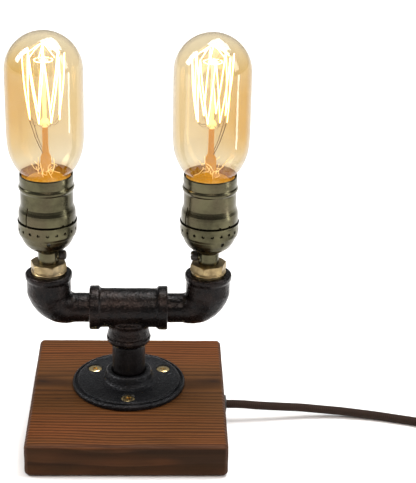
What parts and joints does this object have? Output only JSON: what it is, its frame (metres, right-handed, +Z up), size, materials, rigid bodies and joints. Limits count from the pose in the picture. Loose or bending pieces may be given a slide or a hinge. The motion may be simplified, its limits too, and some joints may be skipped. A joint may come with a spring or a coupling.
{
  "type": "pipe table lamp",
  "caption": "Table lamp of black iron pipe on a wooden block: a tee carries turnable elbow arms with bronze holders and tubular filament bulbs, on a braided cord with switch and plug.",
  "frame": {"origin": "middle of the wooden block's underside, which rests on the table", "axes": "+Z up, +X to the side that the cord leaves from, along the pair of arms, -Y to the front, the side seen first"},
  "size_m": [0.388, 0.2005, 0.2604],
  "materials": {
    "stained_wood": "dark brown stain, wire-brushed grain, worn edges",
    "cover_plate": "plain matt sheet",
    "plate_screw_steel": "zinc-plated, dull",
    "flange_iron": "black, fine sand-cast grain, rubbed rim",
    "black_iron": "black lacquer over cast grain, warm sheen on edges",
    "pipe_iron": "black drawn pipe, smoother than the fittings",
    "yellow_brass": "brass-plated cross-head screws",
    "cast_brass": "dull machined brass, tarnished",
    "antique_bronze": "dark olive bronze plate, satin, bright on beads",
    "dark_screw": "blackened steel",
    "holder_insulator": "pale moulded insulator",
    "contact_brass": "bright strip",
    "shell_metal": "rolled thin sheet",
    "liner_fibre": "vulcanised fibre sleeve",
    "amber_glass": "clear with a light amber tint",
    "stem_glass": "amber flare and rod",
    "filament_wire": "glowing thin strands",
    "support_wire": "thin drawn wire",
    "cap_brass": "thin drawn threaded cap",
    "cap_insulator": "black insulator with a solder contact",
    "conductor_cover": "insulated conductors",
    "splice_caps": "ribbed moulded caps",
    "cord_braid": "dark brown textile braid",
    "grommet_rubber": "soft black moulding",
    "tie_fabric": "black hook-and-loop strap",
    "plug_plastic": "dark moulded plastic, fine grain",
    "switch_plastic": "dark moulded housing, fine grain",
    "rocker_plastic": "smooth rocker",
    "small_steel": "small plated screws"
  },
  "bodies": {
    "base": {"base_block": "stained_wood", "bottom_plate": "cover_plate", "plate_screws": "plate_screw_steel", "floor_flange": "flange_iron", "flange_screws": "yellow_brass", "riser_nipple": "pipe_iron", "pipe_tee": "black_iron", "cord_grommet": "grommet_rubber", "wire_connectors": "splice_caps", "inner_cord": "conductor_cover", "supply_wires": "conductor_cover", "cord_lead": "cord_braid", "cord_feed": "cord_braid", "cord_coil": "cord_braid", "cord_tail": "cord_braid", "coil_tie": "tie_fabric", "plug_body": "plug_plastic", "plug_pins": "contact_brass", "switch_lower_shell": "switch_plastic", "switch_upper_shell": "switch_plastic", "switch_contacts": "contact_brass", "switch_screws": "small_steel"},
    "left_arm": {"left_elbow": "black_iron", "left_bushing": "cast_brass", "left_lamp_nipple": "cast_brass", "left_wires": "conductor_cover", "left_socket_cap": "antique_bronze", "left_neck_screw": "dark_screw", "left_socket_core": "holder_insulator", "left_centre_contact": "contact_brass", "left_terminal_screws": "contact_brass", "left_screw_shell": "shell_metal", "left_shell_liner": "liner_fibre", "left_socket_shell": "antique_bronze"},
    "left_bulb_lift": {"left_bulb_tip": "cap_insulator"},
    "left_bulb": {"left_bulb_glass": "amber_glass", "left_bulb_stem": "stem_glass", "left_filament": "filament_wire", "left_filament_supports": "support_wire", "left_bulb_cap": "cap_brass"},
    "right_arm": {"right_elbow": "black_iron", "right_bushing": "cast_brass", "right_lamp_nipple": "cast_brass", "right_wires": "conductor_cover", "right_socket_cap": "antique_bronze", "right_neck_screw": "dark_screw", "right_socket_core": "holder_insulator", "right_centre_contact": "contact_brass", "right_terminal_screws": "contact_brass", "right_screw_shell": "shell_metal", "right_shell_liner": "liner_fibre", "right_socket_shell": "antique_bronze"},
    "right_bulb_lift": {"right_bulb_tip": "cap_insulator"},
    "right_bulb": {"right_bulb_glass": "amber_glass", "right_bulb_stem": "stem_glass", "right_filament": "filament_wire", "right_filament_supports": "support_wire", "right_bulb_cap": "cap_brass"},
    "rocker": {"switch_rocker": "rocker_plastic"}
  },
  "joints": [
    {"name": "left_arm_swing", "type": "hinge", "parent": "base", "child": "left_arm", "pos_m": [-0.019, 0.0073, 0.0783], "axis": [1, 0, 0], "range_deg": [-90, 90]},
    {"name": "left_bulb_lift", "type": "slide", "parent": "left_arm", "child": "left_bulb_lift", "axis": [0, 0, 1], "range_m": [0, 0.02]},
    {"name": "left_bulb_turn", "type": "hinge", "parent": "left_bulb_lift", "child": "left_bulb", "pos_m": [-0.0507, 0.0073, 0.15], "axis": [0, 0, 1], "range_deg": [0, 1980]},
    {"name": "right_arm_swing", "type": "hinge", "parent": "base", "child": "right_arm", "pos_m": [0.019, 0.0073, 0.0783], "axis": [1, 0, 0], "range_deg": [-90, 90]},
    {"name": "right_bulb_lift", "type": "slide", "parent": "right_arm", "child": "right_bulb_lift", "axis": [0, 0, 1], "range_m": [0, 0.02]},
    {"name": "right_bulb_turn", "type": "hinge", "parent": "right_bulb_lift", "child": "right_bulb", "pos_m": [0.0507, 0.0073, 0.15], "axis": [0, 0, 1], "range_deg": [0, 1980]},
    {"name": "rocker_tilt", "type": "hinge", "parent": "base", "child": "rocker", "pos_m": [0.238, -0.026, 0.0149], "axis": [0.342, 0.9397, 0], "range_deg": [-18, 0]}
  ],
  "couplings": [
    {"joint": "left_bulb_lift", "follows": "left_bulb_turn", "m_per_rad": 0.00057757},
    {"joint": "right_bulb_lift", "follows": "right_bulb_turn", "m_per_rad": 0.00057757}
  ]
}
